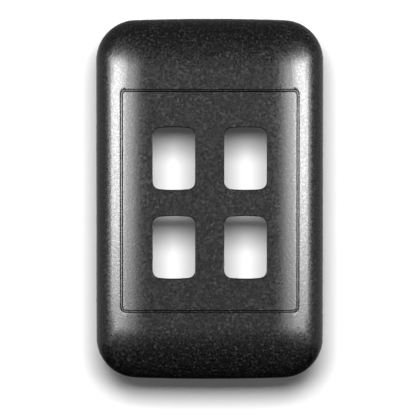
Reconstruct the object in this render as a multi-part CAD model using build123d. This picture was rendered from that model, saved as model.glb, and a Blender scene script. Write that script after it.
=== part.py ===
"""Switch plate for four rocker mechanisms, two across and two down: a grid plate screwed to the wall
and a clip-on surround, moulded in charcoal plastic. Millimetres, upright as it hangs on a wall.

X runs to the right and Z up. The wall is the plane Y = 0, and the front faces -Y.
"""

from build123d import *
from math import asin, cos, pi, sqrt, tan
import os

# Outline and rounded front of the whole plate
plate_width = 76.0
plate_height = 121.0
plate_depth = 11.5
plate_corner_radius = 13.5
end_bow = 1.0
shoulder_width = 18.0
shoulder_fall = 5.5
edge_radius = 8.5
edge_rim_share = 0.05

# Surround
surround_wall = 2.0
inner_edge_ease = 0.25
inner_rim_width = 5.0
collar_wall = 1.2
collar_depth = 4.0
lip_width = 0.65
lip_drop = 0.35

# Clips that hold the surround on the grid plate's base
clip_places = (-36.0, 0.0, 36.0)
clip_length = 8.0
clip_stem = 1.2
clip_barb = 0.9
clip_barb_tip = 0.3
clip_flex_room = 1.5
clip_side_clearance = 0.3
clip_catch_clearance = 0.1
clip_wall_clearance = 0.3
catch_depth = 1.3
catch_clearance = 0.3

# Ribs that rest the surround on the ends of the base
bearing_rib_spacing = 36.0
bearing_rib_thickness = 1.2
bearing_clearance = 0.1

# Fixing screws
fixing_centres = 84.0
screw_hole_radius = 2.0
boss_radius = 5.0
boss_rise = 0.8
head_radius = 3.4
head_height = 2.2
head_bevel = 0.8
head_slot_width = 0.9
head_slot_depth = 1.1
head_clearance = 0.65
neck_radius = 1.55
thread_radius = 1.75
screw_length = 20.0
screw_point = 1.0

# Grid plate, whose front ends just inside the screw heads
side_border = 9.05
front_gap = 0.3
front_width = plate_width - 2 * side_border
front_height = fixing_centres - 2 * (head_radius + head_clearance + collar_wall + front_gap)
front_corner_radius = 1.1
front_skin = 2.0
skirt_wall = 1.6
base_end_room = 2.5
base_thickness = 2.4
base_width = plate_width - 2 * (surround_wall + clip_flex_room + clip_stem + clip_side_clearance)
base_height = plate_height - 2 * (surround_wall + base_end_room)
base_corner_radius = plate_corner_radius - surround_wall - base_end_room

# Apertures for the rockers, and the bays behind them for the mechanisms
aperture_width = 14.2
aperture_height = 21.0
aperture_corner_radius = 2.6
aperture_bow = 0.5
aperture_bevel = 0.3
column_pitch = 23.9
row_pitch = 29.7
group_drop = 0.65
bay_height = 26.6
bay_rib = 0.9
bay_rib_depth = 3.5
latch_width = 9.0
latch_thickness = 0.9
latch_length = 6.5
latch_barb = 0.8
latch_reach = 4.0
latch_slot = 1.0

# Worked out from the sizes above
crown_radius = (shoulder_width**2 + shoulder_fall**2) / (2 * shoulder_fall)
corner_drop = end_bow * (1 - 2 * plate_corner_radius / plate_width) ** 2
opening_width = front_width + 2 * front_gap
opening_height = front_height + 2 * front_gap
opening_corner = front_corner_radius + front_gap
base_front = base_thickness + boss_rise

# Smallest size that counts as more than nothing when faces and edges are picked
hair = 0.001


def facing_wall(front=0.0):
    """Sketch plane parallel to the wall and this far in front of it, x to the right and y up."""
    return Plane.XZ.offset(front)


def bowed_outline(width, height, corner, bow):
    """Rectangle with round corners and straight sides, whose top and bottom ends swell outwards."""
    x = width / 2
    y = height / 2
    outline = make_face(
        [
            ThreePointArc((x, y - bow), (0, y), (-x, y - bow)),
            Line((-x, y - bow), (-x, bow - y)),
            ThreePointArc((-x, bow - y), (0, -y), (x, bow - y)),
            Line((x, bow - y), (x, y - bow)),
        ]
    )
    return fillet(outline.vertices(), corner)


def widest_edge_radius():
    """Largest rounding between the crown and the outline that still leaves a rim at the corners."""
    reach = (shoulder_width - plate_corner_radius) * sqrt(2) + plate_corner_radius
    tilt = asin(reach / crown_radius)
    wall_height = plate_depth - crown_radius * (1 - cos(tilt))
    return (1 - edge_rim_share) * wall_height / tan((pi / 2 - tilt) / 2)


def edge_ball():
    """Radius of the rounding at the plate's edge, and how far off the wall its centre lies at the sides."""
    radius = min(edge_radius, widest_edge_radius())
    rise = sqrt((crown_radius - radius) ** 2 - (shoulder_width - radius) ** 2)
    return radius, plate_depth - crown_radius + rise


def crown(inset=0.0):
    """Slab behind the rounded front, flat in the middle and falling away all round on one large radius."""
    middle = Box(
        plate_width - 2 * shoulder_width,
        plate_depth,
        plate_height - 2 * shoulder_width,
        align=(Align.CENTER, Align.MIN, Align.CENTER),
    )
    return offset(Pos(0, crown_radius - plate_depth, 0) * middle, crown_radius - inset)


def rounded_rim(body, radius):
    """The body with the front edge of its side walls rounded."""
    walls = body.faces().filter_by(lambda face: abs(face.normal_at().Y) < hair)
    rims = walls.edges().filter_by(Axis.Y, reverse=True)
    return fillet(rims.filter_by(lambda edge: edge.center().Y < -hair), radius)


def pillow():
    """Whole plate without its opening: the crowned slab, cut by the outline and rounded at its edge."""
    outline = bowed_outline(plate_width, plate_height, plate_corner_radius, end_bow)
    body = crown() & extrude(facing_wall() * outline, plate_depth)
    return rounded_rim(body, edge_ball()[0])


def block(width, height, corner, back, front, centre=(0.0, 0.0)):
    """Round-cornered block between two distances in front of the wall."""
    outline = Pos(*centre) * RectangleRounded(width, height, corner)
    return extrude(facing_wall(back) * outline, front - back)


def under_wall(wall):
    """Everything behind a wall of one thickness: the crown taken in, over a plain block with a rounded rim.

    Half way round, the rim's rounding is the wall's thickness away from the rounding of the plate's edge.
    """
    width = plate_width - 2 * wall
    height = plate_height - 2 * (wall + corner_drop)
    corner = plate_corner_radius - wall
    edge, edge_height = edge_ball()
    rounding = edge - inner_edge_ease * wall
    shift = rounding * (1 - sqrt(0.5))
    rim = edge_height + shift + sqrt((edge - wall) ** 2 - (edge - wall - shift) ** 2)
    under_edge = rounded_rim(block(width, height, corner, 0, rim), rounding)
    middle = block(
        width - 2 * inner_rim_width,
        height - 2 * inner_rim_width,
        corner - inner_rim_width,
        0,
        plate_depth,
    )
    return crown(wall) & (under_edge + middle)


whole = pillow()
under_surround = under_wall(surround_wall)
in_surround = under_wall(surround_wall / 2)
under_front = crown(front_skin)
in_front = crown(front_skin / 2)


def clip_hook(side, place):
    """Hook inside the surround that snaps round the edge of the base, at one side and height."""
    inner = base_width / 2 + clip_side_clearance
    outer = inner + clip_stem
    tip = clip_wall_clearance
    catch = catch_depth - clip_catch_clearance
    stem = [(inner, -tip), (outer, -tip), (outer, -plate_depth), (inner, -plate_depth)]
    barb = [(inner, -tip), (inner, -catch), (inner - clip_barb, -catch), (inner - clip_barb_tip, -tip)]
    hook = extrude(Plane.XY * make_face(Polyline(*stem, close=True)), clip_length / 2, both=True)
    hook += extrude(Plane.XY * make_face(Polyline(*barb, close=True)), clip_length / 2, both=True)
    if side < 0:
        hook = mirror(hook, Plane.YZ)
    return Pos(0, 0, place) * hook


def bearing_rib(x, end):
    """Rib inside one end of the surround, which rests on the front of the base."""
    inner = front_height / 2 + front_gap + collar_wall
    outer = plate_height / 2 - end_bow
    height = outer - inner
    rib = Pos(x, end * (inner + outer) / 2) * Rectangle(bearing_rib_thickness, height)
    seat = base_thickness + bearing_clearance
    return extrude(facing_wall(seat) * rib, plate_depth - seat)


def surround():
    """Cover moulding with a rounded front, an opening with a sunk lip, and clips inside."""
    opening = block(opening_width, opening_height, opening_corner, 0, plate_depth)
    lip = block(
        opening_width + 2 * lip_width,
        opening_height + 2 * lip_width,
        opening_corner + lip_width,
        0,
        plate_depth,
    )
    body = whole - under_surround
    fittings = block(
        opening_width + 2 * collar_wall,
        opening_height + 2 * collar_wall,
        opening_corner + collar_wall,
        plate_depth - surround_wall - collar_depth,
        plate_depth,
    )
    for x in (-bearing_rib_spacing / 2, bearing_rib_spacing / 2):
        fittings += bearing_rib(x, 1) + bearing_rib(x, -1)
    for place in clip_places:
        fittings += clip_hook(1, place) + clip_hook(-1, place)
    body += fittings & in_surround
    return body - opening - (lip - Pos(0, lip_drop, 0) * whole)


def bay_centres():
    """Middle of each bay, seen from the front, two across and two down."""
    return [
        (column * column_pitch / 2, row * row_pitch / 2 - group_drop)
        for row in (1, -1)
        for column in (-1, 1)
    ]


def bay_lattice():
    """Ribs behind the front: a frame round each bay, open at its latches, tied to the skirt."""
    foot = plate_depth - front_skin - bay_rib_depth
    bay_width = column_pitch - bay_rib
    tie_length = (front_width - skirt_wall) / 2 - column_pitch
    tie_rise = (row_pitch + bay_height + bay_rib) / 2
    ribs = Sketch()
    for column in (-1, 0, 1):
        ribs += Pos(column * column_pitch, 0) * Rectangle(bay_rib, front_height - skirt_wall)
        for side in (-1, 1):
            place = (side * (column_pitch + tie_length / 2), column * tie_rise - group_drop)
            ribs += Pos(*place) * Rectangle(tie_length, bay_rib)
    for centre in bay_centres():
        ribs += Pos(*centre) * RectangleRounded(bay_width + 2 * bay_rib, bay_height + 2 * bay_rib, bay_rib)
    for centre in bay_centres():
        ribs -= Pos(*centre) * Rectangle(bay_width, bay_height)
        ribs -= Pos(*centre) * Rectangle(latch_width + 2 * latch_slot, bay_height + 2 * bay_rib)
    return extrude(facing_wall(foot) * ribs, bay_rib_depth + front_skin / 2) & in_front


def aperture():
    """Cutter for one aperture, with straight sides, crowned ends and a bevelled mouth."""
    bevel = aperture_bevel
    neck = bowed_outline(aperture_width, aperture_height, aperture_corner_radius, aperture_bow)
    mouth = bowed_outline(
        aperture_width + 2 * bevel,
        aperture_height + 2 * bevel,
        aperture_corner_radius + bevel,
        aperture_bow,
    )
    flare = loft([facing_wall(plate_depth - bevel) * neck, facing_wall(plate_depth) * mouth], ruled=True)
    return extrude(facing_wall() * neck, plate_depth) + flare


def latch(centre, end):
    """Springy hook at one end of a bay that holds the shoulder of a mechanism."""
    back_of_skin = front_skin - plate_depth
    near = bay_height / 2
    far = near + latch_thickness
    catch = back_of_skin + latch_reach
    tip = back_of_skin + latch_length
    root = back_of_skin - front_skin / 2
    profile = [(root, far), (tip, far), (tip, near), (catch, near - latch_barb), (catch, near), (root, near)]
    hook = extrude(Plane.YZ * make_face(Polyline(*profile, close=True)), latch_width / 2, both=True)
    if end < 0:
        hook = mirror(hook, Plane.XY)
    return Pos(centre[0], 0, centre[1]) * hook


def base_plate():
    """Flat base with a boss round each screw hole, relieved behind its edge where the clips catch."""
    base = block(base_width, base_height, base_corner_radius, 0, base_thickness)
    relief_width = clip_barb - clip_side_clearance + catch_clearance
    relief_length = clip_length + 2 * catch_clearance
    for place in clip_places:
        for side in (-1, 1):
            edge = (side * base_width / 2, place)
            relief = Pos(*edge) * Rectangle(2 * relief_width, relief_length)
            base -= extrude(facing_wall() * relief, catch_depth)
    for end in (-1, 1):
        centre = Pos(0, end * fixing_centres / 2)
        base += extrude(facing_wall() * (centre * Circle(boss_radius)), base_front)
        base -= extrude(facing_wall() * (centre * Circle(screw_hole_radius)), plate_depth)
    return base


def grid_plate():
    """Base that lies on the wall, and on it the flush front with four apertures and bays."""
    front = whole & block(front_width, front_height, front_corner_radius, 0, plate_depth)
    hollow = under_front & block(
        front_width - 2 * skirt_wall,
        front_height - 2 * skirt_wall,
        front_corner_radius,
        0,
        plate_depth,
    )
    body = base_plate() + front - hollow + bay_lattice()
    for centre in bay_centres():
        body += latch(centre, 1) + latch(centre, -1)
    for centre in bay_centres():
        body -= Pos(centre[0], 0, centre[1]) * aperture()
    return body


def screw(end):
    """Pan head screw through the base, head on its boss, with a plain neck and its thread as a rod."""
    seat = -base_front
    top = seat - head_height
    tip = seat + screw_length
    profile = Polyline(
        (0, top),
        (head_radius - head_bevel, top),
        (head_radius, top + head_bevel),
        (head_radius, seat),
        (neck_radius, seat),
        (neck_radius, 0),
        (thread_radius, 0),
        (thread_radius, tip - screw_point),
        (thread_radius - screw_point, tip),
        (0, tip),
        close=True,
    )
    turned = revolve(Plane.XY * make_face(profile), Axis.Y)
    slot = Pos(0, top, 0) * Box(2 * head_radius, 2 * head_slot_depth, head_slot_width)
    return Pos(0, 0, end * fixing_centres / 2) * (turned - slot)


os.makedirs("parts", exist_ok=True)
export_step(surround(), "parts/surround.step")
export_step(grid_plate(), "parts/grid_plate.step")
export_step(screw(1), "parts/mounting_screw_upper.step")
export_step(screw(-1), "parts/mounting_screw_lower.step")
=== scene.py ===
import math

import bmesh
import bpy
from mathutils import Matrix, Vector


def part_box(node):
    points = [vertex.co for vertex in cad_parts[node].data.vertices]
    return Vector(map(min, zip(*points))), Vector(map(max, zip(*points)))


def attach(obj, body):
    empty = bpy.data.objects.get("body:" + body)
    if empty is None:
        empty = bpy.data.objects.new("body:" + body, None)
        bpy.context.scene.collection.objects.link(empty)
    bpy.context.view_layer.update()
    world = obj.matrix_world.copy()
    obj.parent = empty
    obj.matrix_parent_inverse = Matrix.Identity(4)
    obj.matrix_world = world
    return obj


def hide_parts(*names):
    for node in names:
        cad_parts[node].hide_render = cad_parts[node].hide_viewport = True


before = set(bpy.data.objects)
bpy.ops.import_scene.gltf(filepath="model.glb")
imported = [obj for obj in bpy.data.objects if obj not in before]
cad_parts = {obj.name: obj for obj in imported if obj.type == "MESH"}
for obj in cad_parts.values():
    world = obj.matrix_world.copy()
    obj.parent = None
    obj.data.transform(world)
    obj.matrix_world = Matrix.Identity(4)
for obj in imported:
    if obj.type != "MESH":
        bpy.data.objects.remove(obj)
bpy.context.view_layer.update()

# Grid plate: the moulding that is screwed to the wall, with a flush front, four rocker apertures and the
# bays behind them. Injection moulded in charcoal ABS, in the same grain as the surround, so that the two
# read as one plate. Its solid is right as it is, and only takes the faint softness of moulded corners.
mm = 0.001
touching = 0.001 * mm
crisp_edge = 0.013 * mm
flat_angle = math.radians(0.5)
sharp_angle = math.radians(30)
speck_size = 0.7 * mm
speck_height = 0.024 * mm
grain_size = 0.25 * mm
grain_height = 0.014 * mm
noise_low = 0.3
noise_high = 0.7
pit_roughness = 0.24
top_roughness = 0.36


def linear(hexcode):
    """Colour written as sRGB hex, as the linear colour that a shader takes."""
    parts = [int(hexcode[n : n + 2], 16) / 255 for n in (1, 3, 5)]
    return [p / 12.92 if p <= 0.04045 else ((p + 0.055) / 1.055) ** 2.4 for p in parts] + [1.0]


def add_node(tree, kind, inputs=(), stops=(), **settings):
    """Adds a shader node, sets it, and fills its inputs with values or with other nodes' outputs.

    The stops of a colour ramp are places from 0 to 1 in rising order, each with a colour in sRGB hex.
    """
    node = tree.nodes.new("ShaderNode" + kind)
    for name, value in settings.items():
        setattr(node, name, value)
    for name, value in dict(inputs).items():
        if isinstance(value, bpy.types.NodeSocket):
            tree.links.new(value, node.inputs[name])
        else:
            node.inputs[name].default_value = value
    for number, (place, shade) in enumerate(stops):
        marks = node.color_ramp.elements
        mark = marks[number] if number < len(marks) else marks.new(place)
        mark.position = place
        mark.color = linear(shade)
    return node


def empty_material(name):
    """New material with an empty node tree."""
    material = bpy.data.materials.new(name)
    material.use_nodes = True
    material.node_tree.nodes.clear()
    return material, material.node_tree


def spark_eroded_abs():
    """Charcoal ABS moulded against a spark-eroded tool: satin black with a fine, paler speckle.

    The tops of the grain are paler and a little duller than its pits. In the colour, the paler tops are
    partly painted glints and the darker pits partly painted shade, over the grain's own uneven tone. The
    real grain is about 0.2 mm, and it is drawn at 0.7 mm too, because only that shows from a step away.
    """
    material, tree = empty_material("spark_eroded_abs")
    place = add_node(tree, "TexCoord").outputs["Object"]
    specks = add_node(
        tree, "TexNoise", {"Vector": place, "Scale": 1 / speck_size, "Detail": 2.0, "Roughness": 0.55}
    ).outputs["Fac"]
    grain = add_node(
        tree, "TexNoise", {"Vector": place, "Scale": 1 / grain_size, "Detail": 2.0, "Roughness": 0.5}
    ).outputs["Fac"]
    # Speckle colour: the grain's own tone, plus painted shade in the pits and painted glints on the tops.
    colour = add_node(
        tree,
        "ValToRGB",
        {"Fac": specks},
        stops=((0.32, "#020202"), (0.42, "#0b0b0c"), (0.58, "#111112"), (0.7, "#3a3a3c")),
    )
    gloss = add_node(
        tree,
        "MapRange",
        {
            "Value": specks,
            "From Min": noise_low,
            "From Max": noise_high,
            "To Min": pit_roughness,
            "To Max": top_roughness,
        },
    )
    coarse = add_node(tree, "Bump", {"Height": specks, "Strength": 1.0, "Distance": speck_height})
    fine = add_node(
        tree,
        "Bump",
        {"Height": grain, "Strength": 1.0, "Distance": grain_height, "Normal": coarse.outputs["Normal"]},
    )
    shader = add_node(
        tree,
        "BsdfPrincipled",
        {
            "Base Color": colour.outputs["Color"],
            "Roughness": gloss.outputs["Result"],
            "IOR": 1.5,
            "Normal": fine.outputs["Normal"],
        },
    )
    add_node(tree, "OutputMaterial", {"Surface": shader.outputs["BSDF"]})
    return material


def finished_piece(name, bm, material, softening, slot, *nodes):
    """Turns a bmesh into a smooth piece with softened corners that rides on the part's one body."""
    mesh = bpy.data.meshes.new(name)
    bm.to_mesh(mesh)
    bm.free()
    mesh.materials.append(material)
    mesh.shade_smooth()
    piece = bpy.data.objects.new(name, mesh)
    bpy.context.scene.collection.objects.link(piece)
    rounding = piece.modifiers.new("soft_corners", "BEVEL")
    rounding.width = softening
    rounding.segments = 2
    rounding.limit_method = "ANGLE"
    rounding.angle_limit = sharp_angle
    shading = piece.modifiers.new("even_shading", "WEIGHTED_NORMAL")
    shading.mode = "FACE_AREA"
    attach(piece, "root")
    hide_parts(*nodes)


charcoal = spark_eroded_abs()
grid_mesh = bmesh.new()
grid_mesh.from_mesh(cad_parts["grid_plate"].data)
bmesh.ops.remove_doubles(grid_mesh, verts=grid_mesh.verts, dist=touching)
bmesh.ops.dissolve_limit(grid_mesh, angle_limit=flat_angle, verts=grid_mesh.verts, edges=grid_mesh.edges)
finished_piece("grid_plate_moulding", grid_mesh, charcoal, crisp_edge, "charcoal_plastic", "grid_plate")

# Mounting screws: two M3.5 pan head machine screws that hold the base to the wall box at 84 mm centres.
# Cold-headed steel with a sawn slot and a rolled thread, zinc plated and passivated to a bluish silver.
head_radius = 3.4 * mm
head_height = 2.2 * mm
head_corner = 1.2 * mm
head_dome = 0.3 * mm
head_steps = 56
shoulder_turn = math.radians(80)
shoulder_steps = 6
slot_width = 0.9 * mm
slot_depth = 1.1 * mm
neck_radius = 1.55 * mm
thread_radius = 1.75 * mm
root_radius = 1.38 * mm
thread_pitch = 0.6 * mm
thread_crest = 0.08 * mm
thread_steps = 24
screw_point = 1.0 * mm
screw_edge = 0.01 * mm
cloud_size = 1.5 * mm
cloudy_roughness = 0.38
bright_roughness = 0.26
scratch_width = 0.15 * mm
scratch_stretch = 10
scratch_depth = 0.01 * mm


def fresh_verts(made):
    """The vertices in what a bmesh operator gives back."""
    return [v for v in made if isinstance(v, bmesh.types.BMVert)]


def whole(bm):
    """All that a bmesh holds, for an operator that works on everything."""
    return bm.verts[:] + bm.edges[:] + bm.faces[:]


def in_slot_side(edge, side):
    """Whether an edge lies in one side of the slot."""
    return all(abs(v.co.z - side * slot_width / 2) < touching for v in edge.verts)


def turned_head(bm, top, under):
    """Head and neck before the slot: a profile with a dome and a rounded shoulder, turned full round."""
    shoulder = bm.verts.new((head_radius, top + head_dome + head_corner, 0))
    rounded = bmesh.ops.spin(
        bm,
        geom=[shoulder],
        cent=(head_radius - head_corner, shoulder.co.y, 0),
        axis=(0, 0, -1),
        angle=shoulder_turn,
        steps=shoulder_steps,
    )
    crown = fresh_verts(rounded["geom_last"])[0]
    bm.edges.new((bm.verts.new((0, top, 0)), crown))
    below = [
        (head_radius, under),
        (neck_radius, under),
        (neck_radius, thread_pitch),
        (0, thread_pitch),
    ]
    last = shoulder
    for radius, y in below:
        corner = bm.verts.new((radius, y, 0))
        bm.edges.new((last, corner))
        last = corner
    bmesh.ops.spin(
        bm,
        geom=bm.edges[:],
        cent=(0, 0, 0),
        axis=(0, 1, 0),
        angle=2 * math.pi,
        steps=head_steps,
        use_merge=True,
    )
    bmesh.ops.remove_doubles(bm, verts=bm.verts, dist=touching)


def saw_slot(bm, floor):
    """Saws the slot across the head: cuts along its sides and floor, clears it and closes it again."""
    cuts = [
        ((0, 0, slot_width / 2), (0, 0, 1)),
        ((0, 0, -slot_width / 2), (0, 0, 1)),
        ((0, floor, 0), (0, 1, 0)),
    ]
    for point, normal in cuts:
        bmesh.ops.bisect_plane(bm, geom=whole(bm), plane_co=point, plane_no=normal)
    middles = {face: face.calc_center_median() for face in bm.faces}
    sawn = [f for f, middle in middles.items() if abs(middle.z) < slot_width / 2 and middle.y < floor]
    bmesh.ops.delete(bm, geom=sawn, context="FACES")
    rims = [e for e in bm.edges if e.is_boundary]
    ends = [e for e in rims if not in_slot_side(e, -1) and not in_slot_side(e, 1)]
    floor_lines = []
    for side in (-1, 1):
        wall = [e for e in rims if in_slot_side(e, side)]
        low = [v for e in wall for v in e.verts if abs(v.co.y - floor) < touching]
        line = bm.edges.new((min(low, key=lambda v: v.co.x), max(low, key=lambda v: v.co.x)))
        floor_lines.append(line)
        bmesh.ops.contextual_create(bm, geom=wall + [line])
    bmesh.ops.contextual_create(bm, geom=ends + floor_lines)


def rolled_thread(bm, start, tip):
    """Threaded shank as one closed solid: one pitch wound along the axis, cut off and pointed at its tip.

    It is wound from before its start, so that the cut there goes through full turns.
    """
    flank = (thread_pitch - thread_crest) / 2
    profile = [
        (root_radius, 0),
        (thread_radius, flank),
        (thread_radius, flank + thread_crest),
        (root_radius, thread_pitch),
    ]
    first = start - 2 * thread_pitch
    corners = [bm.verts.new((radius, first + along, 0)) for radius, along in profile]
    pitch_edges = [bm.edges.new(pair) for pair in zip(corners, corners[1:])]
    turns = math.ceil((tip - first) / thread_pitch) + 1
    bmesh.ops.spin(
        bm,
        geom=corners + pitch_edges,
        cent=(0, 0, 0),
        axis=(0, 1, 0),
        dvec=(0, thread_pitch / thread_steps, 0),
        angle=2 * math.pi * turns,
        steps=thread_steps * turns,
    )
    bmesh.ops.remove_doubles(bm, verts=bm.verts, dist=touching)
    for place, clear in ((start, "clear_inner"), (tip, "clear_outer")):
        cut = bmesh.ops.bisect_plane(
            bm, geom=whole(bm), dist=touching, plane_co=(0, place, 0), plane_no=(0, 1, 0), **{clear: True}
        )
        rim = [e for e in cut["geom_cut"] if isinstance(e, bmesh.types.BMEdge)]
        bmesh.ops.contextual_create(bm, geom=rim)
    # The cuts leave a few very short edges, which would cramp the softened corners.
    bmesh.ops.remove_doubles(bm, verts=bm.verts, dist=thread_crest / 3)
    for v in bm.verts:
        reach = math.hypot(v.co.x, v.co.z)
        allowed = thread_radius - max(v.co.y - (tip - screw_point), 0)
        if reach > allowed:
            v.co.x *= allowed / reach
            v.co.z *= allowed / reach


def zinc_plated_steel():
    """Bright zinc with a clear passivation: a pale bluish metal, a little cloudy, with fine scratches."""
    material, tree = empty_material("zinc_plated_steel")
    place = add_node(tree, "TexCoord").outputs["Object"]
    cloud = add_node(
        tree, "TexNoise", {"Vector": place, "Scale": 1 / cloud_size, "Detail": 3.0}
    ).outputs["Fac"]
    colour = add_node(
        tree, "ValToRGB", {"Fac": cloud}, stops=((noise_low, "#b4b9bf"), (noise_high, "#d3d6d8"))
    )
    gloss = add_node(
        tree,
        "MapRange",
        {
            "Value": cloud,
            "From Min": noise_low,
            "From Max": noise_high,
            "To Min": cloudy_roughness,
            "To Max": bright_roughness,
        },
    )
    along_shank = add_node(tree, "Mapping", {"Vector": place, "Scale": (1, 1 / scratch_stretch, 1)})
    scratches = add_node(
        tree,
        "TexNoise",
        {"Vector": along_shank.outputs["Vector"], "Scale": 1 / scratch_width, "Detail": 2.0},
    ).outputs["Fac"]
    drawn = add_node(tree, "Bump", {"Height": scratches, "Strength": 1.0, "Distance": scratch_depth})
    shader = add_node(
        tree,
        "BsdfPrincipled",
        {
            "Base Color": colour.outputs["Color"],
            "Metallic": 1.0,
            "Roughness": gloss.outputs["Result"],
            "Normal": drawn.outputs["Normal"],
        },
    )
    add_node(tree, "OutputMaterial", {"Surface": shader.outputs["BSDF"]})
    return material


zinc = zinc_plated_steel()
for name in ("mounting_screw_upper", "mounting_screw_lower"):
    low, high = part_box(name)
    screw_mesh = bmesh.new()
    turned_head(screw_mesh, low.y, low.y + head_height)
    saw_slot(screw_mesh, low.y + slot_depth)
    thread_mesh = bmesh.new()
    rolled_thread(thread_mesh, 0.0, high.y)
    shank = bpy.data.meshes.new("shank")
    thread_mesh.to_mesh(shank)
    thread_mesh.free()
    screw_mesh.from_mesh(shank)
    bpy.data.meshes.remove(shank)
    bmesh.ops.recalc_face_normals(screw_mesh, faces=screw_mesh.faces)
    bmesh.ops.translate(screw_mesh, verts=screw_mesh.verts, vec=(0, 0, (low.z + high.z) / 2))
    screw_name = name.replace("mounting", "slotted")
    finished_piece(screw_name, screw_mesh, zinc, screw_edge, "zinc_plated_steel", name)

# Surround: the clip-on cover round the switches. One thin moulding in charcoal ABS from a
# spark-eroded tool: a slab rounded all round, cut by its outline and rounded again at the edge,
# hollow behind, with a collar round its opening, six clip hooks and four bearing ribs.
surround_low, surround_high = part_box("surround")
plate_half_width = surround_high.x
plate_half_height = surround_high.z
plate_depth = -surround_low.y
plate_corner_radius = 13.5 * mm
end_bow = 1.0 * mm
shoulder_width = 18.0 * mm
shoulder_fall = 5.5 * mm
edge_radius = 8.5 * mm
surround_wall = 2.0 * mm
moulded_edge = 0.1 * mm
collar_wall = 1.2 * mm
collar_depth = 4.0 * mm
opening_half_width = 29.25 * mm
opening_half_height = 36.75 * mm
opening_corner = 1.4 * mm
lip_width = 0.65 * mm
lip_drop = 0.35 * mm
groove_width = 0.24 * mm
groove_drop = 0.8 * mm
mirror_seam = 0.01 * mm
side_steps = 12
corner_steps = 20
end_steps = 14
edge_steps = 10
crown_steps = 16

middle_half_width = plate_half_width - shoulder_width
middle_half_height = plate_half_height - shoulder_width
crown_radius = (shoulder_width**2 + shoulder_fall**2) / (2 * shoulder_fall)
crown_centre = crown_radius - plate_depth
bow_radius = (plate_half_width**2 + end_bow**2) / (2 * end_bow)
corner_x = plate_half_width - plate_corner_radius
bow_angle = math.asin(corner_x / (bow_radius - plate_corner_radius))
bow_end_x = corner_x + plate_corner_radius * math.sin(bow_angle)
corner_z = plate_half_height - bow_radius + (bow_radius - plate_corner_radius) * math.cos(bow_angle)


def crown_y(x, z, inset=0.0):
    """How far in front of the wall the crowned face lies over a point, as a Y."""
    reach = math.hypot(max(abs(x) - middle_half_width, 0), max(abs(z) - middle_half_height, 0))
    return crown_centre - math.sqrt((crown_radius - inset) ** 2 - reach**2)


def outline(bm):
    """The plate's outline as a closed loop of edges: a quarter is spun and mirrored."""
    top = bm.verts.new((0, 0, plate_half_height))
    spins = [
        ((0, 0, plate_half_height - bow_radius), bow_angle, end_steps),
        ((corner_x, 0, corner_z), math.pi / 2 - bow_angle, corner_steps),
    ]
    last = [top]
    for centre, angle, steps in spins:
        spun = bmesh.ops.spin(bm, geom=last, cent=centre, axis=(0, 1, 0), angle=angle, steps=steps)
        last = fresh_verts(spun["geom_last"])
    foot = bm.verts.new((plate_half_width, 0, 0))
    side = bm.edges.new((last[0], foot))
    bmesh.ops.subdivide_edges(bm, edges=[side], cuts=side_steps - 1)
    for axis in ("X", "Z"):
        half = bm.verts[:] + bm.edges[:]
        bmesh.ops.mirror(bm, geom=half, axis=axis, merge_dist=mirror_seam)
    return bm.edges[:]


def same_quarter(x, z, point):
    """Takes what was worked out for the upper right quarter to the quarter that a point is in."""
    return Vector((math.copysign(x, point.x), 0, math.copysign(z, point.z)))


def outward(point):
    """Direction in the plane of the wall that is square to the outline at a point on it."""
    x, z = abs(point.x), abs(point.z)
    if z < corner_z:
        away = Vector((1, 0, 0))
    elif x < bow_end_x:
        away = Vector((x, 0, z - plate_half_height + bow_radius)).normalized()
    else:
        away = Vector((x - corner_x, 0, z - corner_z)).normalized()
    return same_quarter(away.x, away.z, point)


def beside_opening(point, away, grown):
    """Where a point of the outline lands on the opening's own outline, grown by a width."""
    x, z = abs(point.x), abs(point.z)
    core_x = opening_half_width - opening_corner
    core_z = opening_half_height - opening_corner
    if z < corner_z:
        core_z *= z / corner_z
        turn = 0.0
    elif x < bow_end_x:
        core_x *= x / bow_end_x
        turn = math.pi / 2
    else:
        turn = math.atan2(abs(away.z), abs(away.x)) / (math.pi / 2 - bow_angle) * math.pi / 2
    reach = opening_corner + grown
    return same_quarter(core_x + reach * math.cos(turn), core_z + reach * math.sin(turn), point)


def ball_centre(point, away):
    """Centre of the ball that rounds the edge, resting in the crown and against the side."""
    flat = point - away * edge_radius
    return Vector((flat.x, crown_y(flat.x, flat.z, edge_radius), flat.z))


def crown_contact(point, away, inset=0.0):
    """The ball, its way up to the crown, and where the rounded edge runs into the crown."""
    ball = ball_centre(point, away)
    near_x = max(min(ball.x, middle_half_width), -middle_half_width)
    near_z = max(min(ball.z, middle_half_height), -middle_half_height)
    up = (ball - Vector((near_x, crown_centre, near_z))).normalized()
    return ball, up, ball + up * (edge_radius - inset)


# The cover's section is a chain of stations. Each is a function of a point of the outline and the
# direction square to the outline there, and gives where that station of the section lies.
def side_foot(inset):
    """Foot of the side, on the plane of the wall."""
    return lambda point, away: point - away * inset


def on_edge(inset, share):
    """On the rounded edge, a share of the way from the side to the crown."""
    def place(point, away):
        ball, up, contact = crown_contact(point, away, inset)
        return ball + away.slerp(up, share) * (edge_radius - inset)
    return place


def on_crown(inset, grown, share):
    """On the crown, a share of the way from the rounded edge to the opening."""
    def place(point, away):
        start = crown_contact(point, away, inset)[2]
        spot = start.lerp(beside_opening(point, away, grown), share)
        return Vector((spot.x, crown_y(spot.x, spot.z, inset), spot.z))
    return place


def by_opening(grown, drop):
    """Beside the opening, sunk by a drop below the crown."""
    def place(point, away):
        spot = beside_opening(point, away, grown)
        return Vector((spot.x, crown_y(spot.x, spot.z) + drop, spot.z))
    return place


def collar_foot(grown):
    """Foot of the collar that hangs round the opening inside the cover."""
    def place(point, away):
        spot = beside_opening(point, away, grown)
        return Vector((spot.x, -(plate_depth - surround_wall - collar_depth), spot.z))
    return place


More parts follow.
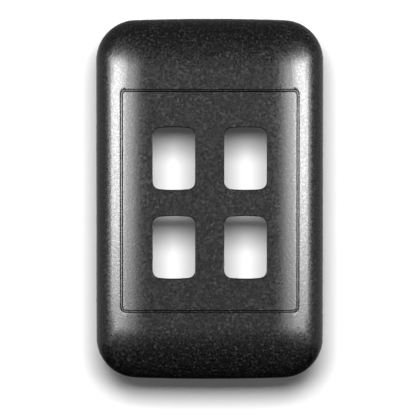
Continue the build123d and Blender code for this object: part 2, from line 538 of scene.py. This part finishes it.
edge_shares = [n / edge_steps for n in range(edge_steps + 1)]
crown_shares = [n / crown_steps for n in range(1, crown_steps + 1)]
groove_side = lip_width - groove_width
front = [on_edge(0.0, share) for share in edge_shares]
front += [on_crown(0.0, lip_width, share) for share in crown_shares]
lip = [by_opening(lip_width, groove_drop), by_opening(groove_side, groove_drop)]
lip += [by_opening(groove_side, lip_drop), by_opening(0.0, lip_drop)]
collar = [collar_foot(0.0), collar_foot(collar_wall)]
inside = [on_crown(surround_wall, collar_wall, share) for share in reversed(crown_shares)]
inside += [on_edge(surround_wall, share) for share in reversed(edge_shares)]
inside += [side_foot(surround_wall)]

# The outline is extruded from station to station. Each new point keeps, in the layer home, the point of
# the outline that it comes from.
surround_mesh = bmesh.new()
first_loop = outline(surround_mesh)
home = surround_mesh.verts.layers.float_vector.new("home")
for vertex in surround_mesh.verts:
    vertex[home] = vertex.co
loop = first_loop
for station in front + lip + collar + inside:
    grown = bmesh.ops.extrude_edge_only(surround_mesh, edges=loop)["geom"]
    fresh = set(fresh_verts(grown))
    loop = [e for e in grown if isinstance(e, bmesh.types.BMEdge) and set(e.verts) <= fresh]
    for vertex in fresh:
        point = Vector(vertex[home])
        vertex.co = station(point, outward(point))
bmesh.ops.bridge_loops(surround_mesh, edges=first_loop + loop)
surround_mesh.verts.layers.float_vector.remove(home)

# Inside, six hooks along the sides hold the cover on the base, and four ribs at its ends bear on it.
clip_places = (-36.0 * mm, 0.0, 36.0 * mm)
clip_length = 8.0 * mm
clip_inner = 33.3 * mm
clip_outer = 34.5 * mm
clip_barb = 0.9 * mm
clip_barb_tip = 0.3 * mm
clip_tip = -0.3 * mm
clip_catch = -1.2 * mm
rib_place = 18.0 * mm
rib_thickness = 1.2 * mm
rib_foot = -2.5 * mm
rib_setback = 5.1 * mm
rib_steps = 12


def prism(bm, corners, push):
    """Closed solid from a face drawn by its corners, pushed out along one line."""
    face = bm.faces.new([bm.verts.new(corner) for corner in corners])
    pushed = bmesh.ops.extrude_face_region(bm, geom=[face])["geom"]
    bmesh.ops.translate(bm, verts=fresh_verts(pushed), vec=push)


def in_wall(x, z):
    """Y of the middle of the surround's wall over a point near its edge."""
    ball = ball_centre(Vector((plate_half_width, 0, z)), Vector((1, 0, 0)))
    across = abs(x) - (plate_half_width - edge_radius)
    return ball.y - math.sqrt((edge_radius - surround_wall / 2) ** 2 - across**2)


for side in (-1, 1):
    for place in clip_places:
        hook = [
            (clip_inner - clip_barb_tip, clip_tip),
            (clip_outer, clip_tip),
            (clip_outer, in_wall(clip_outer, place)),
            (clip_inner, in_wall(clip_inner, place)),
            (clip_inner, clip_catch),
            (clip_inner - clip_barb, clip_catch),
        ]
        corners = [(side * x, y, place - clip_length / 2) for x, y in hook]
        prism(surround_mesh, corners, (0, 0, clip_length))

rib_start = opening_half_height + collar_wall / 2
rib_end = plate_half_height - rib_setback
heights = [rib_start + (rib_end - rib_start) * n / rib_steps for n in range(rib_steps + 1)]
for end in (-1, 1):
    for x in (-rib_place, rib_place):
        ridge = [(z, crown_y(x, z, surround_wall / 2)) for z in heights]
        face = [(rib_start, rib_foot)] + ridge + [(rib_end, rib_foot)]
        corners = [(x - rib_thickness / 2, y, end * z) for z, y in face]
        prism(surround_mesh, corners, (rib_thickness, 0, 0))
bmesh.ops.recalc_face_normals(surround_mesh, faces=surround_mesh.faces)
finished_piece("surround_cover", surround_mesh, charcoal, moulded_edge, "charcoal_plastic", "surround")

# Wall and floor: a plain white board stands behind the plate and another lies below it, as in a studio.
# Both are painted card. They show the plate's shadow and cast none, they neither light the plate nor
# mirror in it, and from behind they let the view through, so that the plate's back can be seen.
board_half_width = 200 * mm
wall_gap = 30 * mm
floor_drop = 160 * mm


def white_card():
    """Matt white paint on card: no gloss, one even white, and clear from behind."""
    material, tree = empty_material("white_card")
    paint = add_node(tree, "BsdfDiffuse", {"Color": linear("#ffffff")}).outputs["BSDF"]
    clear = add_node(tree, "BsdfTransparent").outputs["BSDF"]
    behind = add_node(tree, "NewGeometry").outputs["Backfacing"]
    sided = add_node(tree, "MixShader", {0: behind, 1: paint, 2: clear})
    add_node(tree, "OutputMaterial", {"Surface": sided.outputs["Shader"]})
    return material


card = white_card()
for name, tilt, shift in (
    ("wall", math.pi / 2, (0, wall_gap, board_half_width - floor_drop)),
    ("floor", 0.0, (0, wall_gap - board_half_width, -floor_drop)),
):
    board_mesh = bmesh.new()
    bmesh.ops.create_grid(board_mesh, x_segments=1, y_segments=1, size=board_half_width)
    turn = Matrix.Rotation(tilt, 3, "X")
    bmesh.ops.rotate(board_mesh, verts=board_mesh.verts, cent=(0, 0, 0), matrix=turn)
    bmesh.ops.translate(board_mesh, verts=board_mesh.verts, vec=shift)
    board_data = bpy.data.meshes.new(name)
    board_mesh.to_mesh(board_data)
    board_mesh.free()
    board_data.materials.append(card)
    board = bpy.data.objects.new(name, board_data)
    board.visible_shadow = False
    board.visible_diffuse = False
    board.visible_glossy = False
    bpy.context.scene.collection.objects.link(board)

# Lamps: a softbox above the line of sight gives the plain light and the shadow, and casts no highlight.
# What shows in the plate's gloss is a panel far in front, a bright strip and a fill on each side for the
# two long highlights, and the walls of the studio. A softbox behind lights the plate's back.
side_aim = 30 * mm
side_height = 40 * mm


def softbox(name, place, aim, width, height, power, skips):
    """Cloth-fronted lamp that the camera doesn't see and that one kind of ray, diffuse or glossy, skips."""
    lamp = bpy.data.lights.new(name, "AREA")
    lamp.shape = "RECTANGLE"
    lamp.size = width
    lamp.size_y = height
    lamp.energy = power
    holder = bpy.data.objects.new(name, lamp)
    holder.location = place
    holder.rotation_mode = "QUATERNION"
    holder.rotation_quaternion = (Vector(aim) - Vector(place)).to_track_quat("-Z", "Y")
    holder.visible_camera = False
    setattr(holder, "visible_" + skips, False)
    bpy.context.scene.collection.objects.link(holder)


middle = (0, 0, 0)
softbox("key_softbox", (0, -0.97, 0.23), middle, width=0.34, height=0.24, power=11.4, skips="glossy")
softbox("front_panel", (0, -2.4, -0.08), middle, width=0.5, height=0.5, power=0.5, skips="diffuse")
softbox("rear_softbox", (0.5, 0.9, 0.6), middle, width=0.8, height=0.8, power=60.0, skips="glossy")
for name, swing, reach, height, power in (
    ("strip", math.asin(0.66), 0.37, 0.18, 2.55),
    ("fill", math.asin(0.42), 0.5, 0.24, 1.0),
):
    for side in (-1, 1):
        aim = Vector((side * side_aim, 0, side_height))
        spot = aim + Vector((side * math.sin(swing), -math.cos(swing), 0)) * reach
        softbox(f"{name}_{side}", spot, aim, width=0.12, height=height, power=power, skips="diffuse")

# Studio: the camera sees plain white, and gloss sees grey walls that darken towards the floor, the ceiling
# and the side behind the camera. All other light from the room is faint and even.
faint_light = 0.12
plain_white = 1.0

world = bpy.data.worlds.new("studio")
world.use_nodes = True
bpy.context.scene.world = world
tree = world.node_tree
tree.nodes.clear()
rays = add_node(tree, "LightPath")
toward = add_node(tree, "SeparateXYZ", {"Vector": add_node(tree, "TexCoord").outputs["Generated"]})
level = add_node(tree, "MapRange", {"Value": toward.outputs["Z"], "From Min": -1.0, "From Max": 1.0})
walls = add_node(
    tree,
    "ValToRGB",
    {"Fac": level.outputs["Result"]},
    stops=((0.28, "#000000"), (0.37, "#a8a8a8"), (0.5, "#c6c6c6"), (0.65, "#989898"), (0.8, "#7a7a7a")),
)
depth = add_node(
    tree,
    "MapRange",
    {"Value": toward.outputs["Y"], "From Min": -0.8, "From Max": 0.0, "To Min": 0.35, "To Max": 1.0},
).outputs["Result"]
room = add_node(tree, "Math", {0: walls.outputs["Color"], 1: depth}, operation="MULTIPLY")
gloss = add_node(
    tree,
    "Mix",
    {"Factor": rays.outputs["Is Glossy Ray"], "A": faint_light, "B": room.outputs["Value"]},
)
seen = add_node(
    tree,
    "Mix",
    {"Factor": rays.outputs["Is Camera Ray"], "A": gloss.outputs["Result"], "B": plain_white},
)
shade = add_node(tree, "Background", {"Color": (1, 1, 1, 1), "Strength": seen.outputs["Result"]})
add_node(tree, "OutputWorld", {"Surface": shade.outputs["Background"]})

# Camera: a long lens that looks almost square at the plate, from a little above. The photo is 420 pixels
# wide and the plate 226.5 of them, which with the camera's distance gives the focal length.
photo_width = 420
plate_pixels = 226.5
pixel = 2 * plate_half_width / plate_pixels
camera_distance = 2.0
camera_rise = math.radians(3.7)
photo_middle = Vector((0.3 * pixel, 0, -11.0 * pixel))

camera_data = bpy.data.cameras.new("camera")
camera_data.sensor_width = 36
camera_data.lens = camera_data.sensor_width * camera_distance / (photo_width * pixel)
camera_data.clip_end = 10
camera = bpy.data.objects.new("camera", camera_data)
bpy.context.scene.collection.objects.link(camera)
bpy.context.scene.camera = camera
back = Vector((0, -math.cos(camera_rise), math.sin(camera_rise)))
camera.location = photo_middle + back * camera_distance
camera.rotation_mode = "QUATERNION"
camera.rotation_quaternion = (-back).to_track_quat("-Z", "Y")

bpy.context.scene.view_settings.view_transform = "Standard"
